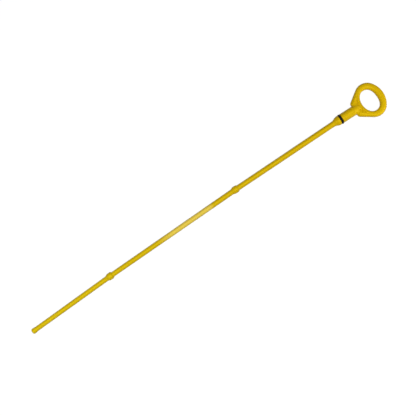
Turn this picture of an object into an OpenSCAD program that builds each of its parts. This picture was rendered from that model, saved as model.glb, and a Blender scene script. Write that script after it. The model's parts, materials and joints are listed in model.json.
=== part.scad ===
// Engine oil dipstick: a finger ring, a plug with one O-ring and a long thin rod.
// It lies as it comes to rest, on its O-ring, the end of its tip and one rim of its ring.

/* [Rod] */
// Length from the middle of the O-ring to the end of the tip
rod_length = 374.6; // [340:0.1:410]
// Diameter of the rod just above its tip
rod_tip_d = 5.1; // [4.6:0.1:5.3]
// Diameter of the rod where it runs into the plug
rod_top_d = 5.9; // [5.3:0.1:6.4]

/* [Tip] */
// Diameter of the swollen tip
bulb_d = 5.8; // [5.5:0.1:6.5]
// Length of the swollen part at its full diameter
bulb_land = 1; // [0.5:0.1:3]
// Length over which the tip runs down into the rod
bulb_ramp = 3; // [1.5:0.1:5]
// Radius of the rounded end of the tip
tip_round = 1.4; // [0.5:0.1:2]

/* [Collars] */
// Distance from the end of the tip to the middle of the lower collar
lower_collar_at = 96.1; // [60:0.1:150]
// Distance from the end of the tip to the middle of the upper collar
upper_collar_at = 248.4; // [200:0.1:300]
// Diameter of both collars
collar_d = 7.5; // [6.8:0.1:8]
// Length of a collar at its full diameter
collar_land = 2.8; // [2:0.1:5]
// Length of the ramp on the side of the tip
collar_tip_ramp = 3.2; // [1.5:0.1:5]
// Length of the ramp on the side of the handle
collar_top_ramp = 2.2; // [1:0.1:5]

/* [Set of the rod] */
// Bend where the rod leaves the plug, in degrees
neck_bend = 0.9; // [0:0.05:1.5]
// Bend at the upper collar, in degrees
upper_bend = 0.85; // [0:0.05:1.5]
// Bend at the lower collar, in degrees
lower_bend = 0.95; // [0:0.05:1.5]
// Bend at the lower collar towards the floor, in degrees
lower_drop = 0.6; // [0:0.05:1.5]

/* [Plug] */
// Diameter of the plug
plug_d = 9.7; // [9.2:0.05:10]
// Length of the plug in front of the groove
nose_land = 1.3; // [1:0.1:6]
// Length of the flare from the rod up to the plug
flare_length = 6.4; // [4:0.1:10]
// Distance from the middle of the O-ring to the stop shoulder of the handle
shoulder_at = 16.1; // [12:0.1:22]
// Length of plug, past the shoulder, that shows as a ridge on the web
ridge_length = 3.4; // [2:0.1:4.5]

/* [O-ring] */
// Outer diameter of the O-ring
seal_d = 10.5; // [10.2:0.05:11]
// Thickness of the rubber
seal_section = 2; // [1.6:0.05:2.2]
// Width of the groove that holds it
groove_w = 2.6; // [2.4:0.1:3.4]
// Room between the rubber and the floor of the groove
seal_gap = 0.05; // [0.02:0.01:0.2]

/* [Handle] */
// Distance from the stop shoulder to the far end of the ring
handle_length = 34.1; // [32:0.1:38]
// Width across the ring
handle_w = 37.2; // [35:0.1:39]
// Thickness of the ring and the web
handle_t = 6; // [5.4:0.1:7]
// Radius of the rounded edges
edge_r = 2.4; // [1.5:0.1:2.6]
// Radius of the outline at the far end
end_r = 22.5; // [21:0.1:25]
// Radius of the outline at both sides
side_r = 12.5; // [11.5:0.1:13.5]
// Radius of the outline at both corners of the shoulder
corner_r = 3.2; // [2.6:0.1:3.4]
// Angle of the straight flanks to the plug, in degrees
flank_angle = 35; // [32:0.5:38]

/* [Finger hole] */
// Length of the hole, along the stick
hole_l = 16.7; // [14:0.1:18]
// Width of the hole, across the stick
hole_w = 23.6; // [20:0.1:25]
// Width of the bar at the far end of the ring
end_bar = 7.5; // [6.5:0.1:9]
// Squareness of the hole at its far end: 2 is an ellipse, more is squarer
hole_square = 2.3; // [2:0.05:3]
// Squareness of the hole at its end beside the plug
hole_neck_square = 2; // [2:0.05:3]
// Depth of the dip in the web, beside the hole
dip_depth = 0.7; // [0:0.05:1]
// Distance from the edge of the hole to the middle of the dip
dip_at = 4.3; // [3.5:0.1:5]
// Half the width of the dip
dip_reach = 1.9; // [1:0.1:2.5]

/* [Hidden] */

plastic_colour = [0.86, 0.70, 0.06];
rubber_colour = [0.07, 0.07, 0.07];

// Depth to which one piece of the moulding is set into the next
sink = 0.3;
// Distance from each bend at which the straight stretches end, inside a collar
bend_gap = 0.5;
// Half the angle round the hole over which the web dips
dip_spread = 60;

// Steps of every turned form, of a rounded edge, of the flare, and of the flat between
// two rounded edges
round_steps = 64;
arc_steps = 5;
flare_steps = 10;
across_steps = 6;
// Ribs of the handle along its end, one side, one flank, one corner and half its shoulder
rib_steps = [6, 10, 5, 4, 4];
// Normals of the hole's edge where those stretches of ribs begin and end
hole_turns = [0, 50, 108, 145, 162, 180];

plug_r = plug_d / 2;
seal_r = seal_d / 2;
collar_r = collar_d / 2;
groove_r = seal_r - seal_section - seal_gap;
nose_at = groove_w / 2 + nose_land;
flare_at = nose_at + flare_length;

// Ways of the three stretches of rod: their turns in the plane of the handle and out of it
upper_way = [neck_bend, 0];
middle_way = upper_way + [upper_bend, 0];
lower_way = middle_way + [lower_bend, lower_drop];

// Places of the bends and of the end of the tip
neck = [-flare_at, 0, 0];
upper_collar = along(neck, upper_way, rod_length - flare_at - upper_collar_at);
lower_collar = along(upper_collar, middle_way, upper_collar_at - lower_collar_at);
tip = along(lower_collar, lower_way, lower_collar_at);

// Point further down a stretch of rod, towards the tip
function along(from, way, length) =
    from - length * [cos(way[1]) * cos(way[0]), cos(way[1]) * sin(way[0]), sin(way[1])];

// Radius of the tapered rod at a distance from the end of the tip
function rod_r(from_tip) =
    (rod_tip_d + (rod_top_d - rod_tip_d) * from_tip / (rod_length - flare_at)) / 2;

// Centres of the arcs of the handle's outline, on its side towards +Y
handle_end = shoulder_at + handle_length;
end_c = [handle_end - end_r, 0];
side_y = handle_w / 2 - side_r;
side_c = [end_c[0] + sqrt((end_r - side_r) ^ 2 - side_y ^ 2), side_y];
flank_normal = 90 + flank_angle;
corner_x = shoulder_at + corner_r;
corner_y = (side_c * unit(flank_normal) + side_r - corner_r - corner_x * cos(flank_normal))
    / sin(flank_normal);
corner_c = [corner_x, corner_y];
end_turn = atan2(side_c[1], side_c[0] - end_c[0]);

hole_c = [handle_end - end_bar - hole_l / 2, 0];

// Round places on which the rod can come to rest: [place, radius]
feet = [
    [upper_collar, collar_r],
    [lower_collar, collar_r],
    [along(tip, lower_way, -tip_round), bulb_d / 2]
];

// Pitch and roll of the lying stick when a foot of the rod and the rim of the ring
// meet the floor beside the O-ring
function lie_on(foot) =
    let (
        place = foot[0],
        rim_y = handle_w / 2 - edge_r,
        rim_z = handle_t / 2 - edge_r,
        lever = side_c[0] / -place[0],
        reach = [rim_z - lever * place[2], rim_y + lever * place[1]],
        drop = seal_r - edge_r + lever * (seal_r - foot[1]),
        roll = asin(drop / norm(reach)) - atan2(reach[0], reach[1]),
        fall = seal_r - foot[1] - place[1] * sin(roll) + place[2] * cos(roll)
    )
    [asin(fall / -place[0]), roll];

// The foot that meets the floor first is the one with the least pitch
lies = [for (foot = feet) lie_on(foot)];
pitch = min([for (lie = lies) lie[0]]);
roll = [for (lie = lies) if (lie[0] == pitch) lie[1]][0];
middle_x = (handle_end + tip[0]) / 2;

function unit(angle) = [cos(angle), sin(angle)];

// Points of an arc from one angle to another
function arc(centre, radius, from, to, steps) =
    [for (i = [0:steps]) centre + radius * unit(from + (to - from) * i / steps)];

// Values spread evenly from one to another, without the last
function spread(from, to, steps) = [for (i = [0:steps - 1]) from + (to - from) * i / steps];

function signed_power(x, p) = sign(x) * abs(x) ^ p;

// Rises from 0 to 1 with soft ends
function ease(t) = t * t * (3 - 2 * t);

// Point of the hole's edge whose outward normal has this angle
function hole_point(angle) =
    let (
        square = abs(angle) < 90 ? hole_square : hole_neck_square,
        q = square / (square - 1),
        half = [hole_l / 2, hole_w / 2],
        u = unit(angle),
        h = ((half[0] * abs(u[0])) ^ q + (half[1] * abs(u[1])) ^ q) ^ (1 / q)
    )
    hole_c + [for (i = [0, 1]) half[i] ^ q * signed_power(u[i], q - 1) / h ^ (q - 1)];

// One side of the handle as ribs from the hole's edge to the outline.
// Each rib is [normal at the hole, point of the outline, normal of the outline].
side_ribs = concat(
    ribs(0, [end_c, end_r, 0], [end_c, end_r, end_turn]),
    ribs(1, [side_c, side_r, end_turn], [side_c, side_r, flank_normal]),
    ribs(2, [side_c, side_r, flank_normal], [corner_c, corner_r, flank_normal]),
    ribs(3, [corner_c, corner_r, flank_normal], [corner_c, corner_r, 180]),
    ribs(4, [corner_c, corner_r, 180], [[corner_x, 0], corner_r, 180])
);

// Ribs of one stretch, between two states [centre, radius, angle] of its outline
function ribs(stretch, from, to) =
    [for (f = spread(0, 1, rib_steps[stretch]))
        let (
            centre = from[0] + f * (to[0] - from[0]),
            radius = from[1] + f * (to[1] - from[1]),
            turn = from[2] + f * (to[2] - from[2]),
            inner = hole_turns[stretch] + f * (hole_turns[stretch + 1] - hole_turns[stretch])
        )
        [inner, centre + radius * unit(turn), turn]];

neck_rib = [180, [shoulder_at, 0], 180];
handle_ribs = concat(
    side_ribs,
    [neck_rib],
    [for (i = [len(side_ribs) - 1:-1:1]) mirrored(side_ribs[i])]
);
function mirrored(rib) = [-rib[0], [rib[1][0], -rib[1][1]], -rib[2]];

// How far the web dips at a distance from the hole's edge, on a rib
function bump(x) = abs(x) >= 1 ? 0 : cos(90 * x) ^ 2;
function dip(rib, distance) =
    dip_depth * bump((180 - abs(rib[0])) / dip_spread) * bump((distance - dip_at) / dip_reach);

// Closed section of the handle along one rib, as points in space
function section(rib) =
    let (
        inner = hole_point(rib[0]),
        inner_n = unit(rib[0]),
        outer = rib[1],
        outer_n = unit(rib[2]),
        wall = handle_t / 2 - edge_r,
        turns = [for (i = [0:arc_steps]) 90 * i / arc_steps],
        falls = [for (i = [arc_steps:-1:0]) 90 * i / arc_steps],
        start = inner + edge_r * inner_n,
        finish = outer - edge_r * outer_n,
        across = [for (i = [1:across_steps - 1]) start + (finish - start) * i / across_steps],
        top = [for (p = across) [p[0], p[1], handle_t / 2 - dip(rib, norm(p - inner))]],
        inner_top = [for (t = turns) rim_point(inner, inner_n, wall, t)],
        outer_top = [for (t = falls) rim_point(outer, -outer_n, wall, t)],
        upper = concat(inner_top, top, outer_top)
    )
    concat(upper, [for (i = [len(upper) - 1:-1:0]) [upper[i][0], upper[i][1], -upper[i][2]]]);

// Point on a rounded edge: 0 degrees is on the side wall and 90 is on the top face
function rim_point(edge, inward, wall, turn) =
    let (p = edge + edge_r * (1 - cos(turn)) * inward)
    [p[0], p[1], wall + edge_r * sin(turn)];

// Ring and web of the handle, as one skin drawn through its sections
module ring() {
    sections = [for (rib = handle_ribs) section(rib)];
    n = len(sections);
    m = len(sections[0]);
    points = [for (s = sections) for (p = s) p];
    faces = [for (i = [0:n - 1]) for (j = [0:m - 1])
        let (a = i * m, b = (i + 1) % n * m, k = (j + 1) % m)
        for (f = [[a + j, b + k, a + k], [a + j, b + j, b + k]]) f];
    polyhedron(points, faces);
}

// Turns a profile of [place along the stick, radius] about the axis of the plug
module turned(profile) {
    rotate([0, 90, 0])
        rotate_extrude($fn = round_steps)
            polygon([for (p = profile) [p[1], p[0]]]);
}

// Plug with its flare, its groove and the rounded ridge that ends on the web
module plug() {
    ridge_c = shoulder_at + ridge_length;
    flare_r = rod_top_d / 2 - sink;
    turned(concat(
        [[-flare_at, 0]],
        [for (i = [0:flare_steps])
            [-flare_at + flare_length * i / flare_steps, flare_r + (plug_r - flare_r) * ease(i / flare_steps)]],
        [[-groove_w / 2, plug_r]],
        [[-groove_w / 2, groove_r], [groove_w / 2, groove_r], [groove_w / 2, plug_r]],
        arc([ridge_c, 0], plug_r, 90, 0, 2 * arc_steps)
    ));
}

// Puts the children's axis along a stretch of rod, with +X towards the tip
module on_rod(place, way) {
    translate(place)
        rotate([0, way[1], 180 + way[0]])
            children();
}

// Straight tapered stretch of rod between two distances from the end of the tip
module stretch(from_tip, to_tip) {
    rotate([0, 90, 0])
        cylinder(h = from_tip - to_tip, r1 = rod_r(from_tip), r2 = rod_r(to_tip), $fn = round_steps);
}

// Collar round a bend: its ramps run on into the rod
module collar(from_tip) {
    rod = rod_r(from_tip);
    rise = collar_r - rod;
    top_end = collar_land / 2 + collar_top_ramp * (rise + sink) / rise;
    tip_end = collar_land / 2 + collar_tip_ramp * (rise + sink) / rise;
    turned([
        [-top_end, 0], [-top_end, rod - sink], [-collar_land / 2, collar_r],
        [collar_land / 2, collar_r], [tip_end, rod - sink], [tip_end, 0]
    ]);
}

// Swollen tip, with its end at 0: its ramp runs on into the rod
module swollen_tip() {
    bulb_r = bulb_d / 2;
    full_from = tip_round + bulb_land;
    rod = rod_r(full_from + bulb_ramp);
    ramp_end = full_from + bulb_ramp * (bulb_r - rod + sink) / (bulb_r - rod);
    turned(concat(
        [[-ramp_end, 0], [-ramp_end, rod - sink], [-full_from, bulb_r]],
        arc([-tip_round, bulb_r - tip_round], tip_round, 90, 0, arc_steps),
        [[0, 0]]
    ));
}

module rod() {
    neck_from = rod_length - flare_at + sink;
    on_rod(along(neck, upper_way, -sink), upper_way)
        stretch(neck_from, upper_collar_at + bend_gap);
    on_rod(upper_collar, (upper_way + middle_way) / 2)
        collar(upper_collar_at);
    on_rod(along(upper_collar, middle_way, bend_gap), middle_way)
        stretch(upper_collar_at - bend_gap, lower_collar_at + bend_gap);
    on_rod(lower_collar, (middle_way + lower_way) / 2)
        collar(lower_collar_at);
    on_rod(along(lower_collar, lower_way, bend_gap), lower_way)
        stretch(lower_collar_at - bend_gap, tip_round);
    on_rod(tip, lower_way)
        swollen_tip();
}

// Lays the stick down, with the floor at height 0 below the middle of its length
module lying() {
    translate([-middle_x, 0, seal_r])
        rotate([0, -pitch, 0])
            rotate([-roll, 0, 0])
                children();
}

module stick() {
    color(plastic_colour)
        lying() {
            ring();
            plug();
            rod();
        }
}

module o_ring() {
    color(rubber_colour)
        lying()
            rotate([0, 90, 0])
                rotate_extrude($fn = round_steps)
                    translate([seal_r - seal_section / 2, 0])
                        circle(d = seal_section, $fn = round_steps / 2);
}

stick();
o_ring();
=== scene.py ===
# %% [markdown]
# # An engine oil dipstick
#
# The stick is one yellow plastic moulding: an oval finger ring, a plug, and a long thin
# rod with two collars and a swollen tip. A black O-ring sits in a groove of the plug.
#
# The construction model says where each piece lies, so it is loaded first as a fixed
# frame. Everything that shows is then made around it, in the same place and size.

# %% The frame
import json
import math

import bmesh
import bpy
import numpy as np
from mathutils import Matrix, Vector


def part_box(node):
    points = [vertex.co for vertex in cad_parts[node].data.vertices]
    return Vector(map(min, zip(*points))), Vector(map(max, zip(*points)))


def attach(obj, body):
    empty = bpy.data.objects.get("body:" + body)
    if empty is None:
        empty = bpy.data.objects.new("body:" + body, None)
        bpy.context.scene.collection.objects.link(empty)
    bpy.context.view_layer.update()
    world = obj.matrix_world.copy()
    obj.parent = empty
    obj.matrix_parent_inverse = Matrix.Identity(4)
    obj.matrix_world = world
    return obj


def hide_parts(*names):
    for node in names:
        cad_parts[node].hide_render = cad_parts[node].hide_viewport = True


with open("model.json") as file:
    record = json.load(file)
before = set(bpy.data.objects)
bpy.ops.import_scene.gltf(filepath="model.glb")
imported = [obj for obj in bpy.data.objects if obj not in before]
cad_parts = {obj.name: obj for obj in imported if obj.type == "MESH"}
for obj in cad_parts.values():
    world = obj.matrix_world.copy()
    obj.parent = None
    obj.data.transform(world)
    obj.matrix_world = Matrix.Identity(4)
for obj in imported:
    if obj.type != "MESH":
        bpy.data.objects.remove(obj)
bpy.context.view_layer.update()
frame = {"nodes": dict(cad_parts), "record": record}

# %% [markdown]
# ## How the stick lies
#
# The stick is drawn the way a mould maker draws it: in millimetres, with the axis of the
# plug along X, the middle of the O-ring at zero and the flat of the ring level. On the
# table it lies a little rolled and pitched, because the O-ring is thicker than the ring.
#
# That lie could be typed in as angles. It is read off the frame instead, so that the two
# models can't drift apart: the plug's axis comes from its mount, the middle from the
# box of the O-ring, and the level of the ring from its own points. They spread least
# in the direction in which the ring is thin.

# %% From the drawing to the table
MM = 0.001
WEB_FROM = 22 * MM

seal_box = [Vector(corner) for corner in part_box("o_ring")]
seal_middle = (seal_box[0] + seal_box[1]) / 2
plug_way = -Vector(frame["record"]["mounts"][0]["axis"]).normalized()

cad_stick = frame["nodes"]["stick"]
web_points = [v.co for v in cad_stick.data.vertices if v.co.x > seal_middle.x + WEB_FROM]
spread = np.linalg.eigh(np.cov(np.array(web_points).T))
level = Vector(spread[1][:, 0])
level *= math.copysign(1, level.z)
side_way = level.cross(plug_way).normalized()
up_way = plug_way.cross(side_way)

lie = Matrix((plug_way, side_way, up_way)).transposed().to_4x4()
lie = Matrix.Translation(seal_middle) @ lie @ Matrix.Scale(MM, 4)
print("pitch %.3f degrees, roll %.3f degrees" % (
    math.degrees(math.asin(plug_way.z)), math.degrees(math.atan2(-side_way.z, up_way.z))))

# %% [markdown]
# ## The camera
#
# The picture looks straight down on the stick, with the ring at the upper right. A
# camera over the middle of the stick could be turned by eye. Here its turn is the angle
# at which the plug runs up the picture, and its lens is worked out so that one pixel
# covers one millimetre at the height of the rod.

# %% Camera
PICTURE = 416
PLUG_SLOPE = math.radians(32.93)
EYE = Vector((2.75, -2.35, 784.5)) * MM
ROD_HEIGHT = 4.5 * MM

camera_data = bpy.data.cameras.new("camera")
camera_data.sensor_width = 36
camera_data.lens = camera_data.sensor_width * (EYE.z - ROD_HEIGHT) / (PICTURE * MM)
camera_data.clip_start = 0.01
camera = bpy.data.objects.new("camera", camera_data)
camera.location = EYE
camera.rotation_euler = (0, 0, -PLUG_SLOPE)
bpy.context.collection.objects.link(camera)
bpy.context.scene.camera = camera
print("lens %.1f mm" % camera_data.lens)

# %% [markdown]
# ## Tools for node trees
#
# Shapes and finishes below are built from nodes. Small helpers keep that short: one adds
# a node with its options and inputs, one does a sum with a Math node, and one starts a
# group with named sockets. Two more run a geometry tree on an object and keep what it
# makes as a plain mesh, because a modifier's result isn't part of the exported model.

# %% Node helpers
def put(tree, kind, inputs=None, **options):
    """Adds a node. An input is a value or another node's output."""
    node = tree.nodes.new(kind)
    for name, value in options.items():
        setattr(node, name, value)
    for socket, value in (inputs or {}).items():
        if isinstance(value, bpy.types.NodeSocket):
            tree.links.new(value, node.inputs[socket])
        else:
            node.inputs[socket].default_value = value
    return node


def calc(tree, operation, *values):
    """One step of arithmetic as a Math node."""
    return put(tree, "ShaderNodeMath", dict(enumerate(values)), operation=operation).outputs[0]


def new_tree(name, kind, inputs, outputs):
    """A node group. Sockets are (name, type) or (name, type, default)."""
    tree = bpy.data.node_groups.new(name, kind)
    for sockets, in_out in ((inputs, "INPUT"), (outputs, "OUTPUT")):
        for socket_name, socket_type, *default in sockets:
            socket = tree.interface.new_socket(
                socket_name, in_out=in_out, socket_type="NodeSocket" + socket_type)
            if default:
                socket.default_value = default[0]
    return tree, tree.nodes.new("NodeGroupInput").outputs, tree.nodes.new("NodeGroupOutput").inputs


def link(tree, source, target):
    """Joins an output to an input."""
    tree.links.new(source, target)


def new_object(name, points, faces, edges=()):
    """An object at the origin, with a mesh of these points."""
    mesh = bpy.data.meshes.new(name)
    mesh.from_pydata(points, edges, faces)
    thing = bpy.data.objects.new(name, mesh)
    bpy.context.collection.objects.link(thing)
    return thing


def grow(thing, tree, sizes):
    """Runs a geometry tree on an object and keeps the result as its plain mesh."""
    modifier = thing.modifiers.new(tree.name, "NODES")
    modifier.node_group = tree
    for item in tree.interface.items_tree:
        if item.in_out == "INPUT" and item.name in sizes:
            modifier[item.identifier] = sizes[item.name]
    return keep(thing)


def keep(thing):
    """Turns what an object's modifiers make into its own mesh and removes them."""
    bpy.context.view_layer.update()
    evaluated = thing.evaluated_get(bpy.context.evaluated_depsgraph_get())
    mesh = bpy.data.meshes.new_from_object(evaluated)
    thing.modifiers.clear()
    thing.data = mesh
    return mesh

# %% [markdown]
# ## Two finishes to fill in later
#
# The geometry trees end by setting a material, so both materials are named now. Their
# nodes are built further down, once the shapes are there to look at.

# %% Empty materials
nylon = bpy.data.materials.new("yellow_nylon")
rubber = bpy.data.materials.new("black_rubber")

# %% [markdown]
# ## The rod
#
# On the real moulding everything from the tip to the groove of the plug is round about
# one line, which bends a little at the neck and at both collars. It could be turned as
# a profile, but then the bends are lost. Instead a circle is swept along the bent line,
# and its radius follows a rule: a gentle taper, plus swellings. The tip, the collars and
# the plug are all the same swelling with other sizes, and the groove is one that goes
# inwards. That is a job for Geometry Nodes: one small group, used five times.

# %% Sizes of the rod, in millimetres
ROD_LENGTH = 374.6
ROD_TIP_D, ROD_TOP_D = 5.1, 5.9
TIP_D, TIP_LAND, TIP_RAMP, TIP_ROUND = 5.8, 1.0, 3.0, 1.4
LOWER_COLLAR_AT, UPPER_COLLAR_AT = 96.1, 248.4
COLLAR_D, COLLAR_LAND, COLLAR_TIP_RAMP, COLLAR_TOP_RAMP = 7.5, 2.8, 3.2, 2.2
PLUG_D, NOSE_LAND, FLARE_LENGTH = 9.7, 1.3, 6.4
SEAL_D, SEAL_SECTION, GROOVE_W, SEAL_GAP = 10.5, 2.0, 2.6, 0.05

flare_at = GROOVE_W / 2 + NOSE_LAND + FLARE_LENGTH
groove_d = SEAL_D - 2 * (SEAL_SECTION + SEAL_GAP)

# %% The bent line
# Turns in the plane of the ring and out of it, in degrees, at the neck and the collars
NECK_BEND = (0.9, 0)
UPPER_BEND = (0.85, 0)
LOWER_BEND = (0.95, 0.6)
# The line runs on past the O-ring, into the barrel
CORE_END = 4.0
# Steps of the line, and how far from a collar, the tip and the flare they are fine
FINE, COARSE = 0.15, 2.5
NEAR_COLLAR, NEAR_TIP, NEAR_FLARE = 6, 8, 3


def stations():
    """Distances from the tip at which the line has a point: close together where it swells."""
    marks = [0, TIP_ROUND, NEAR_TIP,
             LOWER_COLLAR_AT - NEAR_COLLAR, LOWER_COLLAR_AT + NEAR_COLLAR,
             UPPER_COLLAR_AT - NEAR_COLLAR, UPPER_COLLAR_AT + NEAR_COLLAR,
             ROD_LENGTH - flare_at - NEAR_FLARE, ROD_LENGTH + CORE_END]
    steps = [FINE / 2, FINE, COARSE, FINE, COARSE, FINE, COARSE, FINE / 2]
    for low, high, step in zip(marks, marks[1:], steps):
        yield from np.linspace(low, high, math.ceil((high - low) / step), endpoint=False)
    yield marks[-1]


def bent_line():
    """Points of the line for each station, and the places of its bends."""
    bends = [(ROD_LENGTH - flare_at, NECK_BEND), (UPPER_COLLAR_AT, UPPER_BEND),
             (LOWER_COLLAR_AT, LOWER_BEND), (0, (0, 0))]
    here, at, turn, drop = Vector((CORE_END, 0, 0)), ROD_LENGTH + CORE_END, 0, 0
    knots = [(at, here.copy())]
    for next_at, (more_turn, more_drop) in bends:
        flat = math.cos(drop)
        way = Vector((math.cos(turn) * flat, math.sin(turn) * flat, math.sin(drop)))
        here = here - (at - next_at) * way
        at = next_at
        knots.append((at, here.copy()))
        turn += math.radians(more_turn)
        drop += math.radians(more_drop)
    places, marks = zip(*knots[::-1])
    marks = np.array(marks)
    points = [[np.interp(s, places, marks[:, axis]) for axis in range(3)] for s in stations()]
    return points, marks


line_points, line_marks = bent_line()
pairs = [(i, i + 1) for i in range(len(line_points) - 1)]
rod_line = new_object("rod_line", line_points, [], pairs)
print("line of %d points, tip at" % len(line_points), line_marks[0].round(2))

# %% A swelling, as a group
swelling, given, result = new_tree(
    "Swelling", "GeometryNodeTree",
    [("Along", "Float"), ("From", "Float"), ("To", "Float"), ("Ramp before", "Float"),
     ("Ramp after", "Float"), ("Rise", "Float")],
    [("Added radius", "Float")])
start = calc(swelling, "SUBTRACT", given["From"], given["Ramp before"])
finish = calc(swelling, "ADD", given["To"], given["Ramp after"])
# Both ramps have soft ends, as a polished mould leaves them
up = put(swelling, "ShaderNodeMapRange",
         {"Value": given["Along"], "From Min": start, "From Max": given["From"]},
         interpolation_type="SMOOTHSTEP").outputs[0]
down = put(swelling, "ShaderNodeMapRange",
           {"Value": given["Along"], "From Min": finish, "From Max": given["To"]},
           interpolation_type="SMOOTHSTEP").outputs[0]
least = calc(swelling, "MINIMUM", up, down)
link(swelling, calc(swelling, "MULTIPLY", least, given["Rise"]), result["Added radius"])

# %% The sweep: its sizes and small helpers
rod_sizes = {
    "Tip to seal": ROD_LENGTH, "Tip to flare": ROD_LENGTH - flare_at,
    "Diameter at tip": ROD_TIP_D, "Diameter at flare": ROD_TOP_D,
    "Bulb diameter": TIP_D, "Bulb to": TIP_ROUND + TIP_LAND, "Bulb ramp": TIP_RAMP,
    "End radius": TIP_ROUND,
    "Lower collar at": LOWER_COLLAR_AT, "Upper collar at": UPPER_COLLAR_AT,
    "Collar diameter": COLLAR_D, "Half collar": COLLAR_LAND / 2,
    "Ramp to tip": COLLAR_TIP_RAMP, "Ramp to plug": COLLAR_TOP_RAMP,
    "Plug diameter": PLUG_D, "Flare length": FLARE_LENGTH,
    "Groove diameter": groove_d, "Half groove": GROOVE_W / 2, "Steep": FINE / 2}
SIDES_OF_ROD = 56
turned, given, result = new_tree(
    "Turned rod", "GeometryNodeTree",
    [("Geometry", "Geometry"), ("Sides", "Int", SIDES_OF_ROD)]
    + [(name, "Float", value) for name, value in rod_sizes.items()],
    [("Geometry", "Geometry")])


def radius_of(name):
    """Half of the diameter that the tree's input of this name gives."""
    return calc(turned, "MULTIPLY", given[name], 0.5)


def minus(a, b):
    return calc(turned, "SUBTRACT", a, b)


def swell(low, high, before, after, rise):
    """Added radius of a swelling from low to high, with a ramp before and after it."""
    values = {"Along": along, "From": low, "To": high, "Ramp before": before,
              "Ramp after": after, "Rise": rise}
    return put(turned, "GeometryNodeGroup", values, node_tree=swelling).outputs[0]


def collar(name):
    """Added radius of the collar whose middle the input of this name gives."""
    half = given["Half collar"]
    return swell(minus(given[name], half), calc(turned, "ADD", given[name], half),
                 given["Ramp to tip"], given["Ramp to plug"],
                 minus(radius_of("Collar diameter"), taper))

# %% The sweep: radius along the line
curve = put(turned, "GeometryNodeMeshToCurve", {"Mesh": given["Geometry"]}).outputs[0]
along = put(turned, "GeometryNodeSplineParameter").outputs["Length"]
taper = put(turned, "ShaderNodeMapRange", {
    "Value": along, "From Max": given["Tip to flare"],
    "To Min": radius_of("Diameter at tip"), "To Max": radius_of("Diameter at flare")}).outputs[0]
# A swelling that reaches the end of the line ends somewhere past it, and one that
# starts at the tip starts before it, so their ramps there don't show
PAST, BEFORE, HIDDEN_RAMP = 100.0, -1.0, 0.5
past_end = calc(turned, "ADD", given["Tip to seal"], PAST)
groove_from = minus(given["Tip to seal"], given["Half groove"])
nose_from = calc(turned, "ADD", given["Tip to flare"], given["Flare length"])
swellings = [
    swell(BEFORE, given["Bulb to"], HIDDEN_RAMP, given["Bulb ramp"],
          minus(radius_of("Bulb diameter"), taper)),
    collar("Lower collar at"),
    collar("Upper collar at"),
    swell(nose_from, past_end, given["Flare length"], HIDDEN_RAMP,
          minus(radius_of("Plug diameter"), taper)),
    swell(groove_from, past_end, given["Steep"], HIDDEN_RAMP,
          minus(radius_of("Groove diameter"), radius_of("Plug diameter")))]
radius = taper
for added in swellings:
    radius = calc(turned, "ADD", radius, added)

# The end of the tip is rounded: its radius drops along a quarter circle
short = calc(turned, "MAXIMUM", minus(given["End radius"], along), 0.0)
squares = [calc(turned, "POWER", value, 2.0) for value in (given["End radius"], short)]
radius = minus(radius, minus(given["End radius"], calc(turned, "SQRT", minus(*squares))))

# %% The sweep: a circle of that radius
circle = put(turned, "GeometryNodeCurvePrimitiveCircle", {
    "Resolution": given["Sides"], "Radius": 1.0}).outputs[0]
level_line = put(turned, "GeometryNodeSetCurveNormal", {"Curve": curve}, mode="Z_UP").outputs[0]
swept = put(turned, "GeometryNodeCurveToMesh", {
    "Curve": level_line, "Profile Curve": circle, "Scale": radius, "Fill Caps": True}).outputs[0]
real = put(turned, "GeometryNodeRealizeInstances", {"Geometry": swept}).outputs[0]
coated = put(turned, "GeometryNodeSetMaterial", {"Geometry": real, "Material": nylon}).outputs[0]
link(turned, coated, result["Geometry"])
grow(rod_line, turned, rod_sizes)
print("rod: %d faces" % len(rod_line.data.polygons))

# %% [markdown]
# ## The ring and its web
#
# The handle is a ring, bent from a bar that is nearly round, with a web that narrows
# towards the plug. Its outline is made of arcs that run into each other: a wide one at
# the far end, one at each side, straight flanks and two small corners. The finger hole
# is an oval, and at its far end a little squarer than an ellipse.
#
# A 2D outline with a bevel would give the ring the same edge all round and no dip in
# the web. Here the handle is a loft: ribs run from the edge of the hole to the outline,
# each with its own section, and the skin is drawn through them. Where the bar is narrow
# its rounded edges shrink with it. Between the upper and the lower edge a thin upright
# band stays, because a skin that meets itself there would have faces of no area.

# %% Sizes of the handle, in millimetres
SHOULDER_AT = 16.1
HANDLE_LENGTH, HANDLE_W, HANDLE_T = 34.1, 37.2, 6.0
# How far a rounded edge reaches in and up, and its greatest share of a rib's width
EDGE_IN, EDGE_UP, EDGE_SHARE = 3.3, 2.75, 0.44
END_R, SIDE_R, CORNER_R, FLANK_ANGLE = 22.5, 12.5, 3.2, 35.0
HOLE_L, HOLE_W, END_BAR = 16.7, 23.6, 7.5
HOLE_SQUARE, HOLE_NECK_SQUARE = 2.3, 2.0
# The dip beside the hole: depth, distance from the hole, half width, half angle
DIP_DEPTH, DIP_AT, DIP_REACH, DIP_SPREAD = 1.2, 4.2, 2.1, 52

# %% Arcs of the outline
def unit(degrees):
    """The direction of an angle."""
    return np.array([math.cos(math.radians(degrees)), math.sin(math.radians(degrees))])


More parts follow.
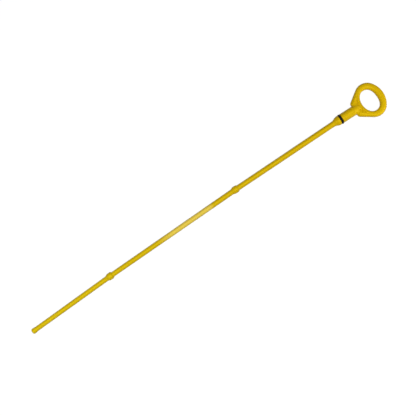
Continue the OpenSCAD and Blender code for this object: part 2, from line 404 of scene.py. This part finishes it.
handle_end = SHOULDER_AT + HANDLE_LENGTH
end_c = np.array([handle_end - END_R, 0.0])
side_y = HANDLE_W / 2 - SIDE_R
side_c = np.array([end_c[0] + math.sqrt((END_R - SIDE_R) ** 2 - side_y ** 2), side_y])
flank_normal = 90 + FLANK_ANGLE
corner_x = SHOULDER_AT + CORNER_R
cos_n, sin_n = unit(flank_normal)
corner_y = (side_c @ unit(flank_normal) + SIDE_R - CORNER_R - corner_x * cos_n) / sin_n
corner_c = np.array([corner_x, corner_y])
end_turn = math.degrees(math.atan2(side_c[1], side_c[0] - end_c[0]))
hole_c = np.array([handle_end - END_BAR - HOLE_L / 2, 0.0])
print("sides at", side_c.round(2), "corners at", corner_c.round(2), "hole at", hole_c.round(2))

# %% Ribs of the handle
FLANK_SPLIT = 0.3

# Stretches of the outline: number of ribs, and centre, radius and angle at both ends,
# with the hole's normal beside them, chosen so that the ribs cross the ring squarely
middle = np.array([corner_x, 0.0])
flank_c = (1 - FLANK_SPLIT) * side_c + FLANK_SPLIT * corner_c
flank_r = (1 - FLANK_SPLIT) * SIDE_R + FLANK_SPLIT * CORNER_R
stretches = [
    (24, (end_c, END_R, 0, 0), (end_c, END_R, end_turn, 42)),
    (44, (side_c, SIDE_R, end_turn, 42), (side_c, SIDE_R, flank_normal, 113)),
    (10, (side_c, SIDE_R, flank_normal, 113), (flank_c, flank_r, flank_normal, 140)),
    (14, (flank_c, flank_r, flank_normal, 140), (corner_c, CORNER_R, flank_normal, 160)),
    (14, (corner_c, CORNER_R, flank_normal, 160), (corner_c, CORNER_R, 180, 170)),
    (16, (corner_c, CORNER_R, 180, 170), (middle, CORNER_R, 180, 180))]


def side_ribs():
    """Ribs of one side: the hole's normal, a point of the outline and its normal."""
    for steps, a, b in stretches:
        for f in np.arange(steps) / steps:
            centre, radius, turn, inner = ((1 - f) * p + f * q for p, q in zip(a, b))
            yield inner, centre + radius * unit(turn), turn
    yield 180.0, np.array([SHOULDER_AT, 0.0]), 180.0

# %% Section of the handle along a rib
EDGE_STEPS, ACROSS_STEPS = 14, 14


def hole_point(turn):
    """Point of the hole's edge whose outward normal has this angle."""
    square = HOLE_SQUARE if abs(turn) < 90 else HOLE_NECK_SQUARE
    q = square / (square - 1)
    half, way = np.array([HOLE_L, HOLE_W]) / 2, unit(turn)
    h = ((half * abs(way)) ** q).sum() ** (1 / q)
    return hole_c + half ** q * np.sign(way) * abs(way) ** (q - 1) / h ** (q - 1)


def bump(x):
    """A soft bump, 1 at zero and 0 from 1 on."""
    return np.cos(np.radians(90 * np.clip(x, -1, 1))) ** 2


def section(inner_turn, outer, outer_turn):
    """Closed section of the handle along one rib."""
    inner = hole_point(inner_turn)
    turns = np.radians(np.linspace(0, 90, EDGE_STEPS + 1))[:, None]
    width = (outer - inner) @ unit((inner_turn + outer_turn) / 2)
    reach = min(EDGE_IN, EDGE_SHARE * width)
    inset = reach * (1 - np.cos(turns))
    rise = HANDLE_T / 2 - EDGE_UP * (1 - np.sin(turns[:, 0]))
    near, far = inner + inset * unit(inner_turn), (outer - inset * unit(outer_turn))[::-1]
    across = near[-1] + (far[0] - near[-1]) * np.linspace(0, 1, ACROSS_STEPS + 1)[1:-1, None]
    distance = np.linalg.norm(across - inner, axis=1)
    round_hole = bump((180 - abs(inner_turn)) / DIP_SPREAD)
    top = HANDLE_T / 2 - DIP_DEPTH * round_hole * bump((distance - DIP_AT) / DIP_REACH)
    upper = np.column_stack([np.vstack([near, across, far]),
                             np.concatenate([rise, top, rise[::-1]])])
    return np.vstack([upper, upper[::-1] * (1, 1, -1)])

# %% The loft
one_side = list(side_ribs())
other_side = [(-inner, outer * (1, -1), -turn) for inner, outer, turn in one_side[-2:0:-1]]
sections = np.array([section(*rib) for rib in one_side + other_side])
ribs, around = sections.shape[:2]
skin = [(i * around + j, i * around + (j + 1) % around,
         (i + 1) % ribs * around + (j + 1) % around, (i + 1) % ribs * around + j)
        for i in range(ribs) for j in range(around)]
loft = new_object("handle_loft", sections.reshape(-1, 3).tolist(), skin)


def face_outwards(mesh):
    """Points all normals outwards and prints what could be wrong with the skin."""
    work = bmesh.new()
    work.from_mesh(mesh)
    bmesh.ops.recalc_face_normals(work, faces=work.faces)
    if work.calc_volume(signed=True) < 0:
        bmesh.ops.reverse_faces(work, faces=work.faces)
    loose = sum(not edge.is_manifold for edge in work.edges)
    triangles = sum(len(face.verts) - 2 for face in work.faces)
    print("%s: %d triangles, %d open edges, volume %.5g" % (
        mesh.name, triangles, loose, work.calc_volume(signed=True)))
    work.to_mesh(mesh)
    work.free()


face_outwards(loft.data)

# %% [markdown]
# ## Plug and ring, moulded in one
#
# On the real part the barrel of the plug runs through the shoulder and slopes down into
# the web, as a ridge with a long round end. Both meet in a soft hollow, because a mould
# has no sharp inner corners. Two crossed solids with a Boolean would leave a hard
# crease there.
#
# So the two are joined as distances. A tree works out, for any point in space, how far
# it is from the ring and from the barrel, and takes the smooth minimum of both. The
# surface lies where that is zero. A volume finds it roughly, and one more step moves
# each of its points onto it exactly.

# %% Distance to the moulding, as a group
moulding, given, result = new_tree(
    "Distance to the moulding", "GeometryNodeTree",
    [("Ring", "Geometry"), ("Place", "Vector"), ("Plug radius", "Float"), ("Plug from", "Float"),
     ("Plug to", "Float"), ("Round end", "Float"), ("Fillet", "Float"), ("Rim", "Float")],
    [("Distance", "Float")])


def vector(tree, operation, *values, output=0):
    """One step of arithmetic with vectors."""
    node = put(tree, "ShaderNodeVectorMath", dict(enumerate(values)), operation=operation)
    return node.outputs[output]


def scaled(tree, way, factor):
    """A vector times a number."""
    node = put(tree, "ShaderNodeVectorMath", {0: way, "Scale": factor}, operation="SCALE")
    return node.outputs[0]


# To the ring: how far its nearest point is, with a minus sign on the inside
near = put(moulding, "GeometryNodeProximity", {
    "Geometry": given["Ring"], "Sample Position": given["Place"]})
face_normal = put(moulding, "GeometryNodeInputNormal").outputs[0]
nearest = put(moulding, "GeometryNodeSampleNearestSurface", {
    "Mesh": given["Ring"], "Value": face_normal, "Sample Position": given["Place"]},
    data_type="FLOAT_VECTOR")
away = vector(moulding, "SUBTRACT", given["Place"], near.outputs["Position"])
facing = vector(moulding, "DOT_PRODUCT", away, nearest.outputs[0], output=1)
to_ring = calc(moulding, "MULTIPLY", near.outputs["Distance"], calc(moulding, "SIGN", facing))

# To the barrel: a round bar whose far end is half an ellipsoid. There the way along
# the axis is shrunk until the ellipsoid is a ball.
x, y, z = put(moulding, "ShaderNodeSeparateXYZ", {0: given["Place"]}).outputs
past = calc(moulding, "MAXIMUM", calc(moulding, "SUBTRACT", x, given["Plug to"]), 0.0)
shrink = calc(moulding, "DIVIDE", given["Plug radius"], given["Round end"])
past = calc(moulding, "MULTIPLY", past, shrink)
off_axis = put(moulding, "ShaderNodeCombineXYZ", {0: past, 1: y, 2: z}).outputs[0]
to_axis = vector(moulding, "LENGTH", off_axis, output=1)
to_side = calc(moulding, "SUBTRACT", to_axis, given["Plug radius"])
to_front = calc(moulding, "SUBTRACT", given["Plug from"], x)
to_plug = calc(moulding, "SMOOTH_MAX", to_side, to_front, given["Rim"])

both = calc(moulding, "SMOOTH_MIN", to_ring, to_plug, given["Fillet"])
link(moulding, both, result["Distance"])

# %% The volume round both
BARREL_TO, BARREL_END = 14.0, 9.6
FILLET, RIM, VOXEL, NUDGE = 1.6, 0.25, 0.25, 0.05
MARGIN = 1

moulded_sizes = {
    "Plug radius": PLUG_D / 2, "Plug from": GROOVE_W / 2, "Plug to": BARREL_TO,
    "Round end": BARREL_END, "Fillet": FILLET, "Rim": RIM}
moulded, given, result = new_tree(
    "Moulded in one", "GeometryNodeTree",
    [("Geometry", "Geometry")] + [(name, "Float", value) for name, value in moulded_sizes.items()]
    + [("Nudge", "Float", NUDGE)],
    [("Geometry", "Geometry")])


def distance_at(place):
    """The distance from a place to the surface of ring and barrel together."""
    values = {name: given[name] for name in moulded_sizes}
    values |= {"Ring": given["Geometry"], "Place": place}
    return put(moulded, "GeometryNodeGroup", values, node_tree=moulding).outputs[0]


place = put(moulded, "GeometryNodeInputPosition").outputs[0]
# The volume is a box of small cells round both, a little larger than they are
around_it = Vector((MARGIN, MARGIN, MARGIN))
low = Vector((GROOVE_W / 2, -HANDLE_W / 2, -PLUG_D / 2)) - around_it
high = Vector((handle_end, HANDLE_W / 2, PLUG_D / 2)) + around_it
steps = {"Resolution " + axis: math.ceil(size / VOXEL) for axis, size in zip("XYZ", high - low)}
density = calc(moulded, "SUBTRACT", 0.5, distance_at(place))
cube = put(moulded, "GeometryNodeVolumeCube", {
    "Density": density, "Background": -1.0, "Min": low, "Max": high, **steps})
rough = put(moulded, "GeometryNodeVolumeToMesh", {
    "Volume": cube.outputs[0], "Threshold": 0.5}).outputs[0]

# %% The surface where the distance is zero
# Four samples round each point give the way in which the distance grows
slope = None
for corner in ((1, -1, -1), (-1, -1, 1), (-1, 1, -1), (1, 1, 1)):
    beside = vector(moulded, "ADD", place, scaled(moulded, corner, given["Nudge"]))
    part = scaled(moulded, corner, distance_at(beside))
    slope = part if slope is None else vector(moulded, "ADD", slope, part)
outward = vector(moulded, "NORMALIZE", slope)
move = scaled(moulded, outward, calc(moulded, "MULTIPLY", distance_at(place), -1.0))
exact = put(moulded, "GeometryNodeSetPosition", {"Geometry": rough, "Offset": move}).outputs[0]
real = put(moulded, "GeometryNodeRealizeInstances", {"Geometry": exact}).outputs[0]
coated = put(moulded, "GeometryNodeSetMaterial", {"Geometry": real, "Material": nylon}).outputs[0]
link(moulded, coated, result["Geometry"])
grow(loft, moulded, moulded_sizes)
face_outwards(loft.data)

# %% [markdown]
# ## One moulding
#
# The rod's line runs on through the floor of the groove, into the barrel. There both
# skins are joined into one, as on the real part. The joint is hidden in the rear wall
# of the groove, behind the rubber.

# %% The union
join = rod_line.modifiers.new("join", "BOOLEAN")
join.operation, join.solver, join.object = "UNION", "EXACT", loft
stick = rod_line
stick.name = "dipstick_moulding"
keep(stick)
bpy.data.objects.remove(loft)
stick.data.name = "dipstick_moulding"
face_outwards(stick.data)

# %% Smooth shading, and the height of each point over the parting line
SHARP_FROM = math.radians(38)
stick.data.shade_smooth()
stick.data.set_sharp_from_angle(angle=SHARP_FROM)


def line_height(x):
    """Height of the rod's middle line, which drops beyond the lower collar."""
    return np.interp(x, line_marks[:, 0], line_marks[:, 2])


points = np.array([v.co for v in stick.data.vertices])
parting = stick.data.attributes.new("parting", "FLOAT", "POINT")
parting.data.foreach_set("value", points[:, 2] - line_height(points[:, 0]))
stick.data.transform(lie)

# %% [markdown]
# ## The O-ring
#
# A plain rubber ring. A torus primitive would do, but its section has to follow from
# the same sizes as the groove, so it is one more sweep: a small circle round a large one.

# %% O-ring
SIDES_ROUND, SIDES_OF_RUBBER = 144, 48
seal_sizes = {"Outer diameter": SEAL_D, "Section": SEAL_SECTION}
ring_tree, given, result = new_tree(
    "Rubber ring", "GeometryNodeTree",
    [("Geometry", "Geometry")] + [(name, "Float", value) for name, value in seal_sizes.items()]
    + [("Round", "Int", SIDES_ROUND), ("Sides", "Int", SIDES_OF_RUBBER)],
    [("Geometry", "Geometry")])


def circle_of(sides, radius):
    return put(ring_tree, "GeometryNodeCurvePrimitiveCircle", {
        "Resolution": sides, "Radius": radius}).outputs[0]


thick = calc(ring_tree, "MULTIPLY", given["Section"], 0.5)
outer = calc(ring_tree, "MULTIPLY", given["Outer diameter"], 0.5)
large = circle_of(given["Round"], calc(ring_tree, "SUBTRACT", outer, thick))
small = circle_of(given["Sides"], thick)
swept = put(ring_tree, "GeometryNodeCurveToMesh", {
    "Curve": large, "Profile Curve": small}).outputs[0]
upright = put(ring_tree, "GeometryNodeTransform", {
    "Geometry": swept, "Rotation": (0, math.pi / 2, 0)}).outputs[0]
real = put(ring_tree, "GeometryNodeRealizeInstances", {"Geometry": upright}).outputs[0]
coated = put(ring_tree, "GeometryNodeSetMaterial", {
    "Geometry": real, "Material": rubber}).outputs[0]
link(ring_tree, coated, result["Geometry"])

seal = new_object("seal_ring", [], [])
grow(seal, ring_tree, seal_sizes)
face_outwards(seal.data)
seal.data.shade_smooth()
seal.data.transform(lie)

# %% [markdown]
# ## Finishes
#
# Both are moulded polymers without paint. What they share is made once, as two groups:
# a fine grain, and the uneven sheen that handling leaves.

# %% Shader groups
grain, given, result = new_tree(
    "Fine grain", "ShaderNodeTree",
    [("Place", "Vector"), ("Grain size", "Float", 0.3), ("Wave size", "Float", 6.0)],
    [("Height", "Float")])


def noise(tree, place, size, detail=2.0):
    """A cloudy pattern whose patches are about this size."""
    scale = calc(tree, "DIVIDE", 1.0, size)
    return put(tree, "ShaderNodeTexNoise", {
        "Vector": place, "Scale": scale, "Detail": detail}).outputs[0]


FINE_SHARE = 0.15
fine = calc(grain, "MULTIPLY", noise(grain, given["Place"], given["Grain size"]), FINE_SHARE)
wave = calc(grain, "MULTIPLY", noise(grain, given["Place"], given["Wave size"]), 1 - FINE_SHARE)
link(grain, calc(grain, "ADD", fine, wave), result["Height"])

handled, given, result = new_tree(
    "Uneven sheen", "ShaderNodeTree",
    [("Place", "Vector"), ("Patch size", "Float", 9.0),
     ("Least", "Float", 0.35), ("Most", "Float", 0.5)],
    [("Roughness", "Float"), ("Patches", "Float")])
patches = noise(handled, given["Place"], given["Patch size"], 4.0)
spread = put(handled, "ShaderNodeMapRange", {
    "Value": patches, "From Min": 0.3, "From Max": 0.7,
    "To Min": given["Least"], "To Max": given["Most"]})
link(handled, spread.outputs[0], result["Roughness"])
link(handled, patches, result["Patches"])

# %% Helpers for both finishes
def start_shader(material, **constants):
    """A material with a Principled shader, and its place in millimetres."""
    material.use_nodes = True
    tree = material.node_tree
    tree.nodes.clear()
    shader = put(tree, "ShaderNodeBsdfPrincipled", constants)
    put(tree, "ShaderNodeOutputMaterial", {"Surface": shader.outputs[0]})
    metres = put(tree, "ShaderNodeTexCoord").outputs["Object"]
    return tree, shader.inputs, scaled(tree, metres, 1 / MM)


def use_group(tree, group, **sizes):
    """Places a shader group. A size that is called grain_size here is its Grain size."""
    inputs = {name.replace("_", " ").capitalize(): value for name, value in sizes.items()}
    return put(tree, "ShaderNodeGroup", inputs, node_tree=group).outputs


def mix_colours(tree, factor, a, b):
    """Colour a where the factor is 0 and colour b where it is 1."""
    return put(tree, "ShaderNodeMix", {0: factor, 6: a, 7: b}, data_type="RGBA").outputs[2]


def remap(tree, value, low, high, to_low=0.0, to_high=1.0):
    """Stretches a value from one range to another, and stops at its ends."""
    return put(tree, "ShaderNodeMapRange", {
        "Value": value, "From Min": low, "From Max": high,
        "To Min": to_low, "To Max": to_high}).outputs[0]


def rough_up(tree, surface, height, depth):
    """Lets a height between 0 and 1 tilt the surface, as if it were this deep."""
    bumped = put(tree, "ShaderNodeBump", {"Height": height, "Distance": depth, "Strength": 1.0})
    link(tree, bumped.outputs[0], surface["Normal"])

# %% [markdown]
# ## Yellow plastic
#
# Moulded nylon, coloured right through. A clear varnish over a flat yellow would shine
# white, and the real stick doesn't: its shine is soft and yellow too. So the sheen is
# wide, and the Specular Tint takes the blue out of it.
#
# The colour isn't the same all along. It goes from lemon at the tip to a warmer yellow at the
# neck, and half way down a stretch is painted paler: a painted sheen, as if the lamps shone on the
# rod there. Both follow the place along the stick, so they stay where they are from every side.

# %% Colour of the plastic
LEMON, WARM, RING_YELLOW = (0.70, 0.51, 0.004, 1), (0.69, 0.45, 0.002, 1), (0.69, 0.445, 0.002, 1)
# SHADE darkens random patches; the paler colour after it is a painted sheen on the middle of the
# rod
SHADE, PAINTED_SHEEN = (0.50, 0.29, 0.002, 1), (0.97, 0.76, 0.16, 1)
YELLOW_SHINE = (1, 0.7, 0.04, 1)
MOST_SHADE, MOST_PAINTED_SHEEN = 0.06, 0.5
# Stretches of the stick, from and to, in millimetres along X
ROD_SPAN, NECK_SPAN = (-210.0, 140.0), (145.0, 175.0)
SHEEN_STARTS, SHEEN_ENDS = (-58.0, -42.0), (5.5, 9.0)

tree, surface, place = start_shader(
    nylon, **{"Specular IOR Level": 0.5, "Specular Tint": YELLOW_SHINE})
sheen = use_group(tree, handled, place=place, patch_size=9.0, least=0.34, most=0.44)
link(tree, sheen["Roughness"], surface["Roughness"])

along_x = put(tree, "ShaderNodeSeparateXYZ", {0: place}).outputs[0]
warm = mix_colours(tree, remap(tree, along_x, *ROD_SPAN), LEMON, WARM)
tint = mix_colours(tree, remap(tree, along_x, *NECK_SPAN), warm, RING_YELLOW)
cloud = remap(tree, sheen["Patches"], 0.35, 0.65, 0.0, MOST_SHADE)
cloudy = mix_colours(tree, cloud, tint, SHADE)

# The painted sheen starts softly and ends sharply at one mark
pale_from = remap(tree, along_x, *SHEEN_STARTS)
pale_to = remap(tree, along_x, *SHEEN_ENDS, 1.0, 0.0)
painted_sheen_mask = calc(tree, "MULTIPLY", calc(tree, "MULTIPLY", pale_from, pale_to), MOST_PAINTED_SHEEN)
link(tree, mix_colours(tree, painted_sheen_mask, cloudy, PAINTED_SHEEN), surface["Base Color"])
print("yellow plastic: %d nodes so far" % len(tree.nodes))

# %% Grain of the plastic, and its parting line
PLASTIC_DEPTH, LINE_WIDTH = 0.03 * MM, 0.12
grained = use_group(tree, grain, place=place, grain_size=0.3, wave_size=7.0)["Height"]

# The parting line is a faint ridge where the two halves of the mould met
over_line = put(tree, "ShaderNodeAttribute", attribute_name="parting").outputs["Fac"]
ridge = remap(tree, calc(tree, "ABSOLUTE", over_line), 0.0, LINE_WIDTH, 1.0, 0.0)
rough_up(tree, surface, calc(tree, "ADD", grained, ridge), PLASTIC_DEPTH)

# %% [markdown]
# ## Black rubber
#
# The O-ring is nitrile rubber with a thin film of oil. A pure black would lose its
# round shape, and a shiny one would look like glass. It gets a very dark grey that is a
# little lighter where dust sticks, and a weak, broad sheen.

# %% Rubber
DARK, DUST = (0.002, 0.002, 0.002, 1), (0.006, 0.005, 0.005, 1)
RUBBER_DEPTH = 0.02 * MM

tree, surface, place = start_shader(rubber, **{"Specular IOR Level": 0.1})
oil = use_group(tree, handled, place=place, patch_size=2.5, least=0.4, most=0.6)
link(tree, oil["Roughness"], surface["Roughness"])
dusty = mix_colours(tree, remap(tree, oil["Patches"], 0.4, 0.7), DARK, DUST)
link(tree, dusty, surface["Base Color"])
grained = use_group(tree, grain, place=place, grain_size=0.15, wave_size=2.0)["Height"]
rough_up(tree, surface, grained, RUBBER_DEPTH)
print("black rubber: %d nodes" % len(tree.nodes))

# %% [markdown]
# ## Floor and light
#
# The picture has a white ground with no shadow to be seen. White paper in strong light
# does that, but the same light would bleach the yellow. So the floor is a matt plane
# that also shows nearly white to the camera and to reflections, and keeps its shadow.
# The world around it does the same, and hardly lights anything.
#
# The picture's light comes from three soft lamps. One hangs over the ring and one over
# the tip, a little below it in the picture. A small third one stands low beside the
# ring, on its right, because the ring's upper left edges are dark. Together they are
# level enough for a colour to come out about as it is written.

# %% Floor and world
def seen_rays(tree):
    """1 for the rays that show the ground to the camera, also through a reflection or glass."""
    rays = put(tree, "ShaderNodeLightPath").outputs
    seen = calc(tree, "MAXIMUM", rays["Is Camera Ray"], rays["Is Glossy Ray"])
    return calc(tree, "MAXIMUM", seen, rays["Is Transmission Ray"])


FLOOR_HALF, FLOOR_GREY, FLOOR_GLOW, WORLD_LIGHT = 2.0, 0.15, 0.92, 0.02
WHITE = (1, 1, 1, 1)

corners = [(x * FLOOR_HALF, y * FLOOR_HALF, 0) for x, y in ((-1, -1), (1, -1), (1, 1), (-1, 1))]
floor = new_object("floor", corners, [(0, 1, 2, 3)])
paper = bpy.data.materials.new("pale_floor")
paper.use_nodes = True
tree = paper.node_tree
tree.nodes.clear()
matt = put(tree, "ShaderNodeBsdfDiffuse", {"Color": (FLOOR_GREY,) * 3 + (1,)}).outputs[0]
glow = put(tree, "ShaderNodeEmission", {
    "Color": WHITE, "Strength": calc(tree, "MULTIPLY", seen_rays(tree), FLOOR_GLOW)}).outputs[0]
both = put(tree, "ShaderNodeAddShader", {0: matt, 1: glow}).outputs[0]
put(tree, "ShaderNodeOutputMaterial", {"Surface": both})
floor.data.materials.append(paper)

world = bpy.data.worlds.new("world")
bpy.context.scene.world = world
world.use_nodes = True
tree = world.node_tree
tree.nodes.clear()
strength = calc(tree, "MAXIMUM", seen_rays(tree), WORLD_LIGHT)
sky = put(tree, "ShaderNodeBackground", {"Color": WHITE, "Strength": strength}).outputs[0]
put(tree, "ShaderNodeOutputWorld", {"Surface": sky})
print("floor of %.0f m a side" % (2 * FLOOR_HALF))

# %% Lamps
# The picture's right and down, as directions on the table
right = Vector((math.cos(PLUG_SLOPE), -math.sin(PLUG_SLOPE), 0))
down = Vector((-math.sin(PLUG_SLOPE), -math.cos(PLUG_SLOPE), 0))


def on_table(to_right, to_bottom, height=0.0):
    """A place, in metres from the middle of the picture."""
    return right * to_right + down * to_bottom + Vector((0, 0, height))


def lamp(name, place, target, size, power):
    """A square area lamp that faces its target."""
    data = bpy.data.lights.new(name, "AREA")
    data.size, data.energy = size, power
    thing = bpy.data.objects.new(name, data)
    thing.location = place
    thing.rotation_euler = (target - place).to_track_quat("-Z", "Y").to_euler()
    bpy.context.collection.objects.link(thing)
    print("lamp %s: %.2f W" % (name, power))
    return thing


lamp("beside_ring", on_table(0.315, -0.07, 0.11), on_table(0.156, -0.108), 0.1, 0.19)
lamp("over_ring", on_table(0.14, 0.01, 0.8), on_table(0.12, 0), 0.3, 3.45)
lamp("over_tip", on_table(-0.25, 0.17, 0.5), on_table(-0.25, 0.17), 0.3, 1.42)

# %% [markdown]
# ## One body
#
# Both pieces ride on the one body and stand in for their construction pieces, which are hidden.

# %% Body, hidden construction pieces and view
for piece, node, slot in ((stick, "stick", "yellow_plastic"), (seal, "o_ring", "seal_rubber")):
    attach(piece, "root")
    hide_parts(node)

bpy.context.scene.view_settings.view_transform = "Standard"
